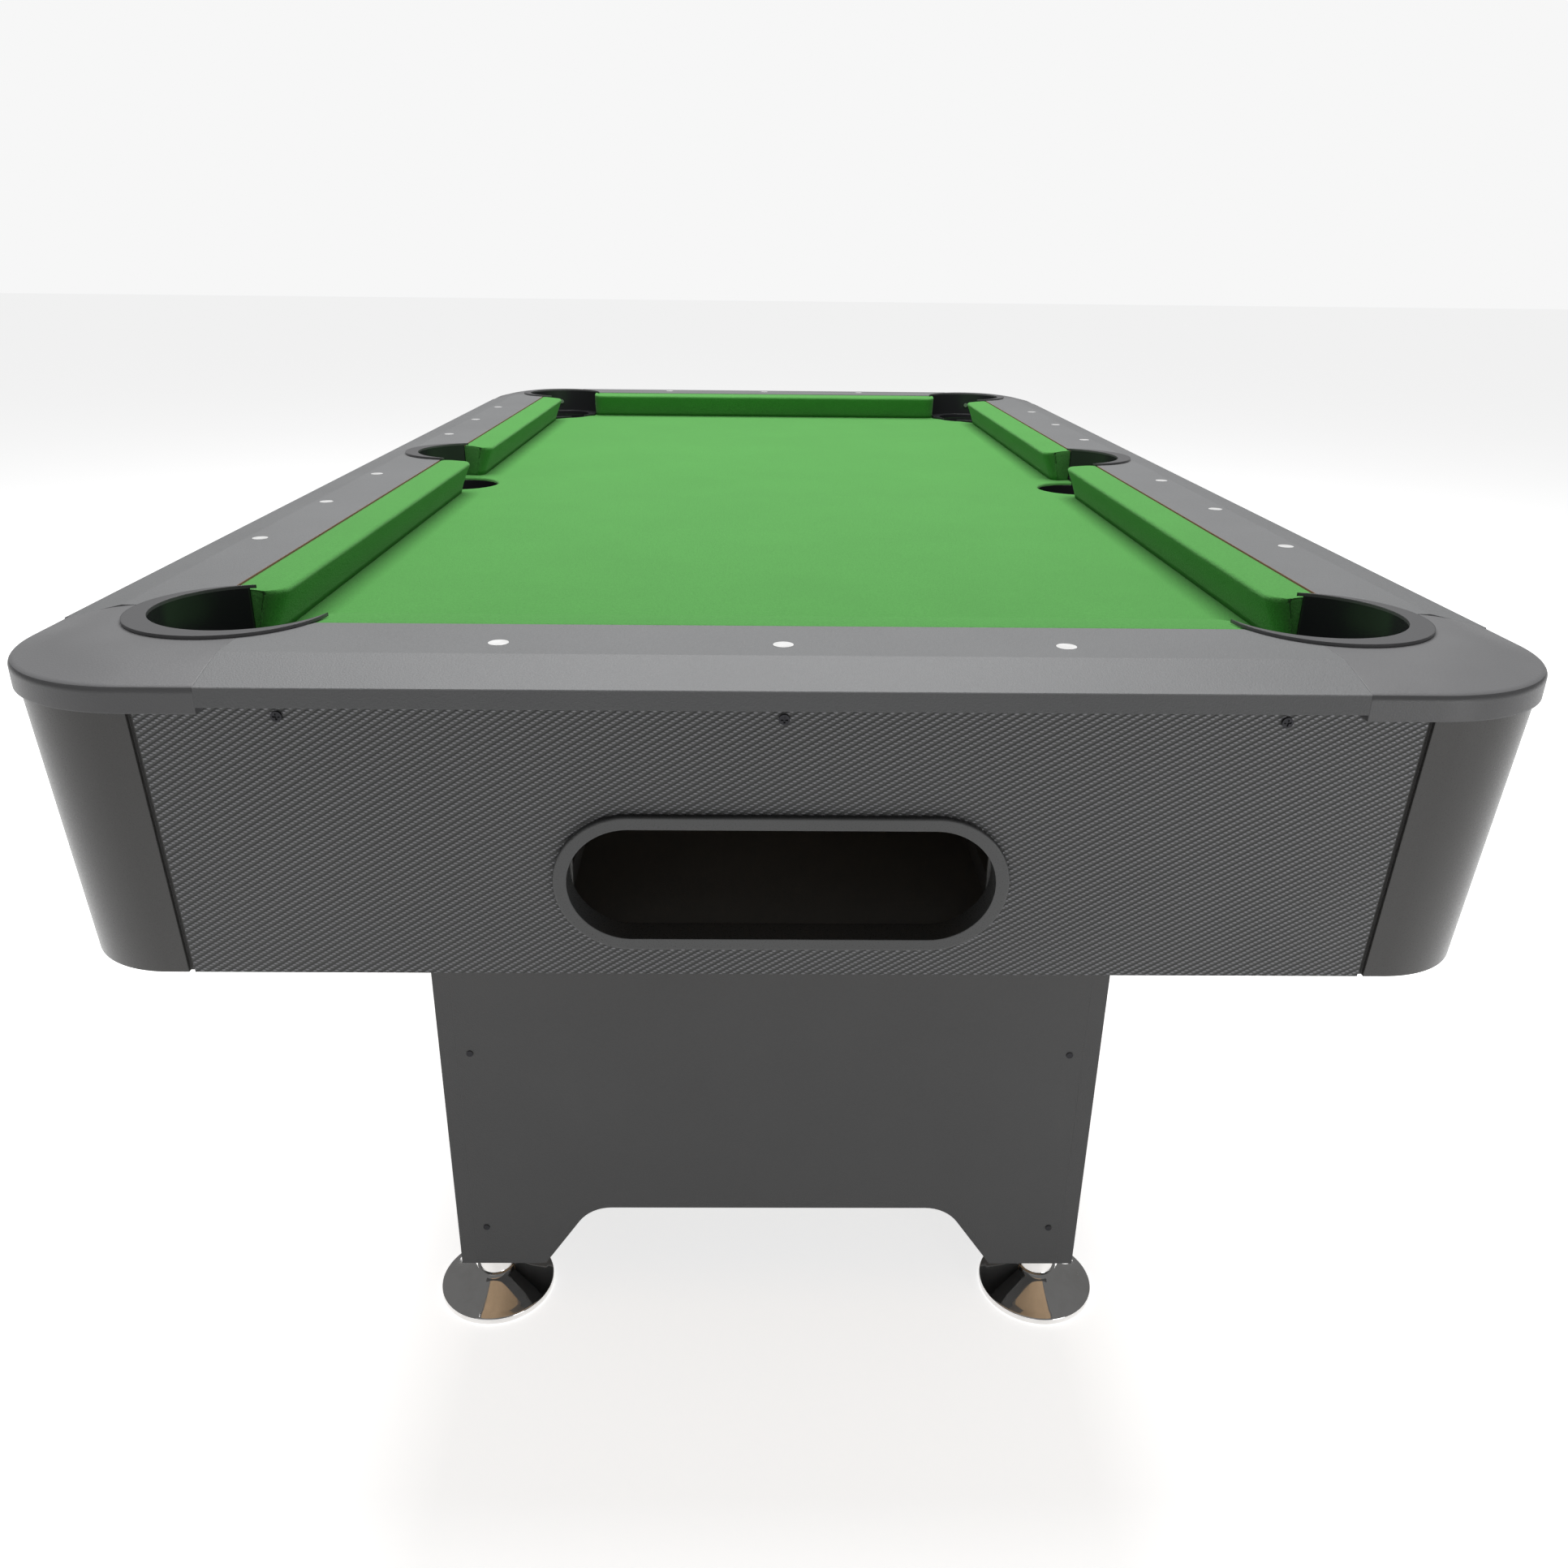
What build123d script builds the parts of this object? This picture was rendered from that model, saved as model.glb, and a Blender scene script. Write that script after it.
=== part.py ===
"""Six-foot pool table with ball return, on two box pedestals with levelling feet.

The origin is on the floor under the middle of the table. +X runs across the table, +Y runs
along it away from the ball-return end, and +Z is up. Left is -X and front is -Y.
Lengths are in millimetres.
"""
from build123d import *
import os
from math import atan2, cos, radians, sin, sqrt

os.makedirs("parts", exist_ok=True)

# --- The whole table ---------------------------------------------------------------------
table_length = 1829.0
table_width = 990.0
table_height = 790.0
half_length = table_length / 2
half_width = table_width / 2
end_rail_width = 108.5       # from the cushions to the table's edge
side_rail_width = 98.0

board_gap = 0.5      # between boards that are fitted into each other
soft_gap = 0.3       # round the cloth-covered cushions
screw_gap = 0.2      # round every screw shank

# --- Playing field -----------------------------------------------------------------------
cushion_width = 36.0
cushion_height = 38.0        # rail top above the cloth
nose_drop = 1.5              # nose edge below the rail top
nose_face = 5.0              # blunt front of the nose
nose_undercut = 12.0         # foot of the cushion behind the nose
end_cushion_setback = 49.0   # end cushions stop this far short of the field's corners
side_cushion_setback = 56.0  # side cushions stop this far short of the field's corners
side_mouth = 57.0            # half the gap between the noses at a side pocket
side_mouth_flare = 0.25      # that gap widens towards the pocket by this much per mm

cloth_thickness = 1.0
bed_thickness = 18.0
cloth_top = table_height - cushion_height
bed_top = cloth_top - cloth_thickness
bed_bottom = bed_top - bed_thickness
end_joint = half_length - end_rail_width
side_joint = half_width - side_rail_width
end_nose = end_joint - cushion_width
side_nose = side_joint - cushion_width
end_cushion_reach = side_nose - end_cushion_setback
side_cushion_reach = end_nose - side_cushion_setback

# --- Rails and corner caps ---------------------------------------------------------------
bevel_width = 41.0
bevel_drop = 9.5
skirt_bottom = table_height - 22.0
cap_bottom = table_height - 26.0
cap_reach_x = 150.0          # corner caps, measured in from the table's edges
cap_reach_y = 151.5
cap_corner_radius = 106.0
cap_wall = 16.0
cap_roof = 14.0
cap_crown_radius = 150.0     # softens the line between the cap's flat top and its bevel
cap_edge_radius = 5.0
rail_end_x = half_width - cap_reach_x
rail_end_y = half_length - cap_reach_y

dot_radius = 6.5
dot_thickness = 1.2
dot_recess = 1.0
dot_spacing = 178.6
end_dot_line = half_length - 64.5
side_dot_line = half_width - 53.0

# --- Pockets -----------------------------------------------------------------------------
corner_pocket = (side_nose + 10.5, end_nose + 10.5)
side_pocket = (side_nose + 25.0, 0.0)
side_drop_shift = 5.0        # the side drop tube stands this much further out
pocket_radius = 52.0
collar_radius = 68.0
collar_height = 2.5
corner_tip_angle = 128.0     # where the collar runs out to a point, from straight outward
side_tip_angle = 85.0
corner_mouth_line = 45.0     # the corner throat ends this far in front of the pocket's middle
liner_wall = 3.0
drop_radius = 47.0
drop_depth = 8.0             # drop tube below the bed board
cloth_lip = 4.0              # the cloth turns down this far over the tube's open side
pocket_screw_angle = 30.0
pocket_screw_drop = 19.0     # below the rail top

# --- Cabinet -----------------------------------------------------------------------------
rail_overhang = 12.0
cabinet_depth = 218.0        # from the rail top down
cabinet_bottom = table_height - cabinet_depth
side_taper = 4.0
end_taper = 17.0
panel_thickness = 15.0
column_reach = 90.0          # corner columns, measured in from the cabinet's faces
column_radius = 72.0
groove_width = 4.0
groove_depth = 3.0
floor_thickness = 12.0
beam_thickness = 15.0
floor_top = cabinet_bottom + floor_thickness

panel_screw_drop = 31.0      # below the rail top
end_screw_spacing = 303.0
side_screw_spacing = 420.0
screw_head_radius = 3.4
screw_head_height = 1.4
screw_shank_radius = 2.0
screw_length = 27.0
cross_width = 1.2
cross_depth = 0.8

# --- Ball return -------------------------------------------------------------------------
return_width = 275.0
return_height = 82.0
return_middle = cabinet_bottom + 71.5
bezel_rim = 9.0
bezel_thickness = 4.0
bezel_round = 1.5
bezel_sleeve = 3.0           # wall of the sleeve in the front panel

tray_width = 298.0
tray_depth = 230.0
tray_wall = 3.0
tray_top = cabinet_bottom + 108.0
tray_floor_front = cabinet_bottom + 25.0
tray_floor_rear = cabinet_bottom + 34.0
tray_gap = 3.0               # between the bezel sleeve and the tray

run_middle = corner_pocket[0] + 8.5
run_width = 90.0
run_wall = 3.0
run_depth = 34.0
run_outlet = cabinet_bottom + 44.0
run_slope = 0.024
run_rear = corner_pocket[1] + drop_radius + 4.5
run_cross_line = corner_pocket[1]

# --- Pedestals ---------------------------------------------------------------------------
pedestal_width = 627.0
pedestal_depth = 300.0
pedestal_front = half_length - 301.5
pedestal_bottom = 62.0
pedestal_board = 16.0
arch_half_foot = 228.0
arch_half_top = 179.0
arch_height = 72.0
arch_radius = 40.0
post_size = 42.0
pedestal_screw_x = 285.0
pedestal_screw_heights = (109.0, 318.0)
pedestal_screw_radius = 3.2
pedestal_screw_cap = 0.8
pedestal_screw_length = 34.0

# --- Levelling feet ----------------------------------------------------------------------
foot_inset_x = 26.0          # foot's middle, in from the pedestal's outer faces
foot_inset_y = 37.0
foot_radius = 59.0
foot_rim = 9.0
foot_hub_radius = 20.0
foot_cone_top = 30.0
foot_collar_radius = 17.0
stud_radius = 6.0
stud_gap = 0.3
stud_reach = 38.0
bore_depth = 40.0

corners = {"front_left": (-1, -1), "front_right": (1, -1), "rear_left": (-1, 1), "rear_right": (1, 1)}
ends = {"front": -1, "rear": 1}
sides = {"left": -1, "right": 1}


def save(piece, name):
    """Label a finished piece and write it."""
    piece.part.label = name
    export_step(piece.part, f"parts/{name}.step")


def flat_shape(plane, points):
    """A straight-sided flat shape on a plane."""
    with BuildSketch(plane) as shape:
        with BuildLine():
            Polyline(*points, close=True)
        make_face()
    return shape.sketch


def in_corner(source, side, end):
    """A piece made for the rear right corner, turned over into another corner."""
    with BuildPart() as piece:
        add(source.part)
        if side < 0:
            mirror(about=Plane.YZ, mode=Mode.REPLACE)
        if end < 0:
            mirror(about=Plane.XZ, mode=Mode.REPLACE)
    return piece


def throat_circle(tip_angle):
    """Radius of a throat's round wall, and how far its middle is shifted towards the field.

    The wall touches the pocket circle on the outside and leaves the collar at its tips.
    """
    spread = 2 * (pocket_radius - collar_radius * cos(radians(tip_angle)))
    shift = (collar_radius ** 2 - pocket_radius ** 2) / spread
    return pocket_radius + shift, shift


def throat_middle(pocket, outward, tip_angle):
    """Where the middle of a throat's wall is, in plan."""
    shift = throat_circle(tip_angle)[1]
    return pocket[0] - shift * cos(radians(outward)), pocket[1] - shift * sin(radians(outward))


def throat_hole_radius(tip_angle):
    """The hole that a throat needs in the rails and caps."""
    return throat_circle(tip_angle)[0] + liner_wall + board_gap


corner_throat = throat_middle(corner_pocket, 45, corner_tip_angle)
side_throat = throat_middle(side_pocket, 0, side_tip_angle)
side_drop = (side_pocket[0] + side_drop_shift, side_pocket[1])


def cabinet_face(half_size, taper, height):
    """Distance of the cabinet's sloping outer face from the table's middle."""
    fall = (cap_bottom - height) / (cap_bottom - cabinet_bottom)
    return half_size - rail_overhang - taper * fall


def side_face(height):
    return cabinet_face(half_width, side_taper, height)


def end_face(height):
    return cabinet_face(half_length, end_taper, height)


def face_plane(half_size, taper, height, along, outward):
    """A plane on one of the cabinet's sloping faces, looking out of it, with its y axis upward."""
    distance = cabinet_face(half_size, taper, height)
    slope = atan2(taper, cap_bottom - cabinet_bottom)
    normal = Vector(*outward, 0) * cos(slope) + Vector(0, 0, -sin(slope))
    middle = Vector(*outward, 0) * distance + Vector(abs(outward[1]), abs(outward[0]), 0) * along
    return Plane(
        origin=(middle.X, middle.Y, height),
        x_dir=(-outward[1], outward[0], 0),
        z_dir=(normal.X, normal.Y, normal.Z),
    )


panel_screw_height = table_height - panel_screw_drop
end_screw_planes = {
    name: [
        face_plane(half_length, end_taper, panel_screw_height, step * end_screw_spacing, (0, end))
        for step in (-1, 0, 1)
    ]
    for name, end in ends.items()
}
side_screw_planes = {
    name: [
        face_plane(half_width, side_taper, panel_screw_height, step * side_screw_spacing, (side, 0))
        for step in (-1.5, -0.5, 0.5, 1.5)
    ]
    for name, side in sides.items()
}


def screw_holes(planes, depth, radius=screw_shank_radius):
    """Round holes for screw shanks, to be taken out of what the screws pass through."""
    with BuildPart() as holes:
        for plane in planes:
            with BuildSketch(plane.offset(-depth)):
                Circle(radius + screw_gap)
            extrude(amount=2 * depth)
    return holes.part


def pocket_screw_planes(pocket, outward, tip_angle):
    """Planes on the inside of a throat's wall, looking at the pocket's middle."""
    radius = throat_circle(tip_angle)[0]
    middle = throat_middle(pocket, outward, tip_angle)
    seat = sqrt(radius ** 2 - screw_head_radius ** 2) - screw_gap / 4
    planes = []
    for turn in (-pocket_screw_angle, pocket_screw_angle):
        angle = radians(outward + turn)
        planes.append(
            Plane(
                origin=(
                    middle[0] + seat * cos(angle),
                    middle[1] + seat * sin(angle),
                    table_height - pocket_screw_drop,
                ),
                x_dir=(-sin(angle), cos(angle), 0),
                z_dir=(-cos(angle), -sin(angle), 0),
            )
        )
    return planes


corner_screw_planes = pocket_screw_planes(corner_pocket, 45, corner_tip_angle)
side_pocket_screw_planes = pocket_screw_planes(side_pocket, 0, side_tip_angle)

with BuildPart() as right_liner_screw_holes:
    add(screw_holes(side_pocket_screw_planes, screw_length))


# --- Bed ---------------------------------------------------------------------------------
def bed_outline(level, thickness):
    """A board or cloth that fills the cabinet and is cut out for the six pockets."""
    bed_half_x = side_face(bed_bottom) - panel_thickness - board_gap
    bed_half_y = end_face(bed_bottom) - panel_thickness - board_gap
    hole = drop_radius + liner_wall + board_gap
    with BuildPart() as sheet:
        with BuildSketch(Plane.XY.offset(level)):
            RectangleRounded(2 * bed_half_x, 2 * bed_half_y, column_radius - panel_thickness + 2)
            with GridLocations(2 * corner_pocket[0], 2 * corner_pocket[1], 2, 2):
                Circle(hole, mode=Mode.SUBTRACT)
            with GridLocations(2 * side_drop[0], 0, 2, 1):
                Circle(hole, mode=Mode.SUBTRACT)
        extrude(amount=thickness)
    return sheet


save(bed_outline(bed_bottom, bed_thickness), "bed_board")
save(bed_outline(bed_top, cloth_thickness), "bed_cloth")


# --- Cushions ----------------------------------------------------------------------------
def cushion_outline(nose, side):
    """Section of a cushion: distance from the table's middle, then height."""
    back = nose + cushion_width - soft_gap
    bottom = cloth_top + soft_gap
    top = table_height - soft_gap
    points = [
        (back, top),
        (nose + 2 * nose_drop, top - nose_drop / 2),
        (nose, table_height - nose_drop - nose_face / 2),
        (nose, table_height - nose_drop - nose_face),
        (nose + nose_undercut, bottom),
        (back, bottom),
    ]
    return [(side * distance, height) for distance, height in points]


for name, end in ends.items():
    with BuildPart() as end_cushion:
        extrude(
            flat_shape(Plane.YZ, cushion_outline(end_nose, end)),
            amount=end_cushion_reach,
            both=True,
        )
    save(end_cushion, f"cushion_{name}")


def mouth_at(distance):
    """Half the width of the side pocket's mouth, at a distance from the table's middle."""
    return side_mouth + side_mouth_flare * (distance - side_nose)


for name, (side, end) in corners.items():
    with BuildPart() as side_cushion:
        extrude(
            flat_shape(Plane.XZ, cushion_outline(side_nose, side)),
            amount=-end * side_cushion_reach,
        )
        mouth_inside = side_nose - 1
        mouth_outside = side_joint + 1
        mouth = [
            (side * mouth_inside, 0),
            (side * mouth_outside, 0),
            (side * mouth_outside, end * mouth_at(mouth_outside)),
            (side * mouth_inside, end * mouth_at(mouth_inside)),
        ]
        extrude(
            flat_shape(Plane.XY.offset(cloth_top), mouth),
            amount=cushion_height,
            mode=Mode.SUBTRACT,
        )
    save(side_cushion, f"cushion_{name}")


# --- Rails -------------------------------------------------------------------------------
def rail_outline(joint, half_size, face, sign):
    """Section of a rail: distance from the table's middle, then height."""
    tongue = face(cloth_top) - panel_thickness - board_gap
    points = [
        (joint, cloth_top),
        (joint, table_height),
        (half_size - bevel_width, table_height),
        (half_size, table_height - bevel_drop),
        (half_size, skirt_bottom),
        (face(cap_bottom), skirt_bottom),
        (face(cap_bottom), cap_bottom),
        (tongue, cap_bottom),
        (tongue, cloth_top),
    ]
    return [(sign * distance, height) for distance, height in points]


for name, end in ends.items():
    with BuildPart() as end_rail:
        extrude(
            flat_shape(Plane.YZ, rail_outline(end_joint, half_length, end_face, end)),
            amount=rail_end_x,
            both=True,
        )
        with GridLocations(2 * corner_throat[0], 2 * corner_throat[1], 2, 2):
            Cylinder(throat_hole_radius(corner_tip_angle), 3 * table_height, mode=Mode.SUBTRACT)
        with BuildSketch(Plane.XY.offset(table_height - dot_recess)):
            with Locations(*[(step * dot_spacing, end * end_dot_line) for step in (-1, 0, 1)]):
                Circle(dot_radius)
        extrude(amount=dot_thickness, mode=Mode.SUBTRACT)
        add(screw_holes(end_screw_planes[name], screw_length), mode=Mode.SUBTRACT)
    save(end_rail, f"rail_{name}")

for name, side in sides.items():
    with BuildPart() as side_rail:
        extrude(
            flat_shape(Plane.XZ, rail_outline(side_joint, half_width, side_face, side)),
            amount=rail_end_y,
            both=True,
        )
        with GridLocations(2 * corner_throat[0], 2 * corner_throat[1], 2, 2):
            Cylinder(throat_hole_radius(corner_tip_angle), 3 * table_height, mode=Mode.SUBTRACT)
        with Locations((side * side_throat[0], 0)):
            Cylinder(throat_hole_radius(side_tip_angle), 3 * table_height, mode=Mode.SUBTRACT)
        with BuildSketch(Plane.XY.offset(table_height - dot_recess)):
            dot_steps = (-3, -2, -1, 1, 2, 3)
            with Locations(*[(side * side_dot_line, step * dot_spacing) for step in dot_steps]):
                Circle(dot_radius)
        extrude(amount=dot_thickness, mode=Mode.SUBTRACT)
        add(screw_holes(side_screw_planes[name], screw_length), mode=Mode.SUBTRACT)
        add(in_corner(right_liner_screw_holes, side, 1).part, mode=Mode.SUBTRACT)
    save(side_rail, f"rail_{name}")

with BuildPart() as sight_dots:
    with BuildSketch(Plane.XY.offset(table_height - dot_recess)):
        with GridLocations(dot_spacing, 2 * end_dot_line, 3, 2):
            Circle(dot_radius)
        for middle in (-2 * dot_spacing, 2 * dot_spacing):
            with Locations((0, middle)):
                with GridLocations(2 * side_dot_line, dot_spacing, 2, 3):
                    Circle(dot_radius)
    extrude(amount=dot_thickness)
save(sight_dots, "sight_dots")


# --- Corner caps -------------------------------------------------------------------------
def cap_plan(level):
    """Plan of the rear right cap: a square with one rounded outer corner."""
    with BuildSketch(Plane.XY.offset(level)) as plan:
        with Locations((rail_end_x, rail_end_y)):
            Rectangle(cap_reach_x, cap_reach_y, align=(Align.MIN, Align.MIN))
        fillet(plan.vertices().sort_by(lambda v: v.X + v.Y)[-1], cap_corner_radius)
    return plan.sketch


def outward_edges(edges):
    """The edges of a cap that don't lie along its seams with the rails."""
    return [e for e in edges if e.center().X > rail_end_x + 1 and e.center().Y > rail_end_y + 1]


def edges_at(edges, level):
    """The level edges at a height."""
    return [
        e
        for e in edges
        if e.bounding_box().size.Z < board_gap and abs(e.center().Z - level) < board_gap
    ]


with BuildPart() as corner_cap:
    extrude(cap_plan(cap_bottom), amount=table_height - cap_bottom)
    cap_top = corner_cap.faces().sort_by(Axis.Z)[-1]
    chamfer(outward_edges(cap_top.edges()), bevel_width, length2=bevel_drop, reference=cap_top)
    crown = outward_edges(corner_cap.faces().sort_by(Axis.Z)[-1].edges())
    fillet(crown, cap_crown_radius)
    fillet(edges_at(corner_cap.edges(), table_height - bevel_drop), cap_edge_radius)
    with Locations(corner_throat):
        Cylinder(throat_hole_radius(corner_tip_angle), 3 * table_height, mode=Mode.SUBTRACT)
    with BuildSketch(Plane.XY.offset(cap_bottom)):
        add(cap_plan(cap_bottom))
        offset(amount=-cap_wall, mode=Mode.REPLACE)
        with Locations(corner_throat):
            Circle(throat_hole_radius(corner_tip_angle) + cap_wall / 2, mode=Mode.SUBTRACT)
    extrude(amount=table_height - cap_roof - cap_bottom, mode=Mode.SUBTRACT)


# --- Pocket liners -----------------------------------------------------------------------
def pocket_plane(pocket, outward):
    """A level plane with its origin at a pocket and its x axis pointing outward."""
    direction = (cos(radians(outward)), sin(radians(outward)), 0)
    return Plane(origin=(*pocket, 0), x_dir=direction, z_dir=(0, 0, 1))


def make_liner(pocket, outward, tip_angle, drop_shift, kept):
    """A moulded pocket liner: throat wall, ledge, drop tube and raised collar.

    kept is the plan area, as two opposite points, in which the throat's wall stands.
    """
    site = pocket_plane(pocket, outward)
    radius, shift = throat_circle(tip_angle)
    low, high = kept
    with BuildPart() as liner:
        with BuildSketch(site.offset(cloth_top)):
            with Locations((-shift, 0)):
                Circle(radius + liner_wall)
                Circle(radius, mode=Mode.SUBTRACT)
        extrude(amount=cushion_height)
        with BuildSketch(site.offset(cloth_top)):
            with Locations((-shift, 0)):
                Circle(radius + liner_wall)
            with Locations((drop_shift, 0)):
                Circle(drop_radius, mode=Mode.SUBTRACT)
        extrude(amount=liner_wall)
        with BuildSketch(Plane.XY.offset(cloth_top)):
            with Locations(((low[0] + high[0]) / 2, (low[1] + high[1]) / 2)):
                Rectangle(high[0] - low[0], high[1] - low[1])
        extrude(amount=cushion_height, mode=Mode.INTERSECT)
        with BuildSketch(site.offset(cloth_top)):
            with Locations((-corner_mouth_line, 0)):
                Rectangle(table_width, table_width, align=(Align.MAX, Align.CENTER))
        extrude(amount=cushion_height, mode=Mode.SUBTRACT)
        with BuildSketch(site.offset(bed_bottom - drop_depth)):
            with Locations((drop_shift, 0)):
                Circle(drop_radius + liner_wall)
                Circle(drop_radius, mode=Mode.SUBTRACT)
        extrude(amount=cloth_top - bed_bottom + drop_depth)
        with BuildSketch(Plane.XY.offset(cloth_top - cloth_lip)):
            with Locations(site.origin):
                Rectangle(4 * collar_radius, 4 * collar_radius)
            with Locations(((low[0] + high[0]) / 2, (low[1] + high[1]) / 2)):
                Rectangle(high[0] - low[0], high[1] - low[1], mode=Mode.SUBTRACT)
        extrude(amount=cloth_lip, mode=Mode.SUBTRACT)
        with BuildSketch(site.offset(table_height)):
            Circle(collar_radius)
            with Locations((-shift, 0)):
                Circle(radius, mode=Mode.SUBTRACT)
        extrude(amount=collar_height)
        screws = pocket_screw_planes(pocket, outward, tip_angle)
        add(screw_holes(screws, screw_length), mode=Mode.SUBTRACT)
    return liner


with BuildPart() as drilled_cap:
    add(corner_cap.part)
    add(screw_holes(corner_screw_planes, screw_length), mode=Mode.SUBTRACT)
corner_liner = make_liner(
    corner_pocket,
    45,
    corner_tip_angle,
    0,
    ((end_cushion_reach + soft_gap, side_cushion_reach + soft_gap), (half_width, half_length)),
)
for name, (side, end) in corners.items():
    save(in_corner(drilled_cap, side, end), f"corner_cap_{name}")
    save(in_corner(corner_liner, side, end), f"pocket_liner_{name}")

side_liner = make_liner(
    side_pocket,
    0,
    side_tip_angle,
    side_drop_shift,
    ((side_joint + soft_gap, -half_width), (half_width, half_width)),
)
for name, side in sides.items():
    save(in_corner(side_liner, side, 1), f"pocket_liner_{name}")


# --- Screws ------------------------------------------------------------------------------
def add_screw(plane, length=screw_length, radius=screw_shank_radius):
    """A pan-head screw with a cross recess, its head's underside on the plane."""
    with BuildPart() as screw:
        with BuildSketch(plane.offset(-length)):
            Circle(radius)
        extrude(amount=length)
        with BuildSketch(plane):
            Circle(screw_head_radius)
        extrude(amount=screw_head_height)
        with BuildSketch(plane.offset(screw_head_height)):
            Rectangle(1.3 * screw_head_radius, cross_width)
            Rectangle(cross_width, 1.3 * screw_head_radius)
        extrude(amount=-cross_depth, mode=Mode.SUBTRACT)
    return screw.part


with BuildPart() as panel_screws:
    for plane in [*sum(end_screw_planes.values(), []), *sum(side_screw_planes.values(), [])]:
        add(add_screw(plane))
save(panel_screws, "panel_screws")

with BuildPart() as rear_right_screws:
    for plane in corner_screw_planes:
        add(add_screw(plane, pocket_radius / 4))
with BuildPart() as right_screws:
    for plane in side_pocket_screw_planes:
        add(add_screw(plane, pocket_radius / 4))
with BuildPart() as pocket_screws:
    for side, end in corners.values():
        add(in_corner(rear_right_screws, side, end).part)
    for side in sides.values():
        add(in_corner(right_screws, side, 1).part)
save(pocket_screws, "pocket_screws")


# --- Cabinet -----------------------------------------------------------------------------
def column_section(level):
    """Plan of the rear right corner column: a rounded angle with a grooved lip at each end."""
    face_x = side_face(level)
    face_y = end_face(level)
    seam_x = side_face(cap_bottom) - column_reach
    seam_y = end_face(cap_bottom) - column_reach
    inner_x = face_x - panel_thickness
    inner_y = face_y - panel_thickness
    inner_radius = column_radius - panel_thickness
    with BuildSketch(Plane.XY.offset(level)) as section:
        with BuildLine():
            Polyline(
                (seam_x - groove_width, inner_y),
                (seam_x - groove_width, face_y - groove_depth),
                (seam_x, face_y - groove_depth),
                (seam_x, face_y),
                (face_x - column_radius, face_y),
            )
            RadiusArc((face_x - column_radius, face_y), (face_x, face_y - column_radius), column_radius)
            Polyline(
                (face_x, face_y - column_radius),
                (face_x, seam_y),
                (face_x - groove_depth, seam_y),
                (face_x - groove_depth, seam_y - groove_width),
                (inner_x, seam_y - groove_width),
                (inner_x, inner_y - inner_radius),
            )
            RadiusArc((inner_x, inner_y - inner_radius), (inner_x - inner_radius, inner_y), -inner_radius)
            Line((inner_x - inner_radius, inner_y), (seam_x - groove_width, inner_y))
        make_face()
    return section.sketch


with BuildPart() as column:
    loft([column_section(cabinet_bottom), column_section(cap_bottom)], ruled=True)
for name, (side, end) in corners.items():
    save(in_corner(column, side, end), f"corner_column_{name}")


def panel_outline(face, sign):
    """Section of a sloping cabinet panel: distance from the table's middle, then height."""
    points = [
        (face(cabinet_bottom), cabinet_bottom),
        (face(cap_bottom), cap_bottom),
        (face(cap_bottom) - panel_thickness, cap_bottom),
        (face(cabinet_bottom) - panel_thickness, cabinet_bottom),
    ]
    return [(sign * distance, height) for distance, height in points]


end_panel_half = side_face(cap_bottom) - column_reach - groove_width
side_panel_half = end_face(cap_bottom) - column_reach - groove_width
return_plane = face_plane(half_length, end_taper, return_middle, 0, (0, -1))

for name, end in ends.items():
    with BuildPart() as end_panel:
        extrude(flat_shape(Plane.YZ, panel_outline(end_face, end)), amount=end_panel_half, both=True)
        add(screw_holes(end_screw_planes[name], screw_length), mode=Mode.SUBTRACT)
        if name == "front":
            sleeve_hole = 2 * (bezel_sleeve + board_gap)
            with BuildSketch(return_plane):
                SlotOverall(return_width + sleeve_hole, return_height + sleeve_hole)
            extrude(amount=2 * panel_thickness, both=True, mode=Mode.SUBTRACT)
    save(end_panel, f"cabinet_panel_{name}")

for name, side in sides.items():
    with BuildPart() as side_panel:
        extrude(flat_shape(Plane.XZ, panel_outline(side_face, side)), amount=side_panel_half, both=True)
        add(screw_holes(side_screw_planes[name], screw_length), mode=Mode.SUBTRACT)
    save(side_panel, f"cabinet_panel_{name}")

with BuildPart() as cabinet_floor:
    with BuildSketch(Plane.XY.offset(cabinet_bottom)):
        RectangleRounded(
            2 * (side_face(cabinet_bottom) - panel_thickness - board_gap),
            2 * (end_face(cabinet_bottom) - panel_thickness - board_gap),
            column_radius - panel_thickness + 2,
        )
    extrude(amount=floor_thickness)
save(cabinet_floor, "cabinet_floor")

beam_half = run_middle - run_width / 2 - run_wall
beam_line = pedestal_front - pedestal_depth / 2
for name, end in ends.items():
    with BuildPart() as beam:
        with BuildSketch(Plane.XY.offset(floor_top)):
            with Locations((0, end * beam_line)):
                Rectangle(2 * beam_half, beam_thickness)
        extrude(amount=bed_bottom - floor_top)
    save(beam, f"bed_beam_{name}")


# --- Ball return -------------------------------------------------------------------------
with BuildPart() as return_bezel:
    with BuildSketch(return_plane):
        SlotOverall(return_width + 2 * bezel_rim, return_height + 2 * bezel_rim)
    extrude(amount=bezel_thickness)
    outward_axis = Axis(return_plane.origin, return_plane.z_dir)
    fillet(return_bezel.faces().sort_by(outward_axis)[-1].edges(), bezel_round)
    with BuildSketch(return_plane):
        SlotOverall(return_width + 2 * bezel_sleeve, return_height + 2 * bezel_sleeve)
    extrude(amount=-panel_thickness)
    with BuildSketch(return_plane.offset(-panel_thickness)):
        SlotOverall(return_width, return_height)
    extrude(amount=panel_thickness + bezel_thickness, mode=Mode.SUBTRACT)
save(return_bezel, "return_bezel")

tray_front = end_face(cabinet_bottom) - panel_thickness - tray_gap
tray_rear = tray_front - tray_depth
run_window = run_width + 2 * (run_wall + board_gap)

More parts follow.
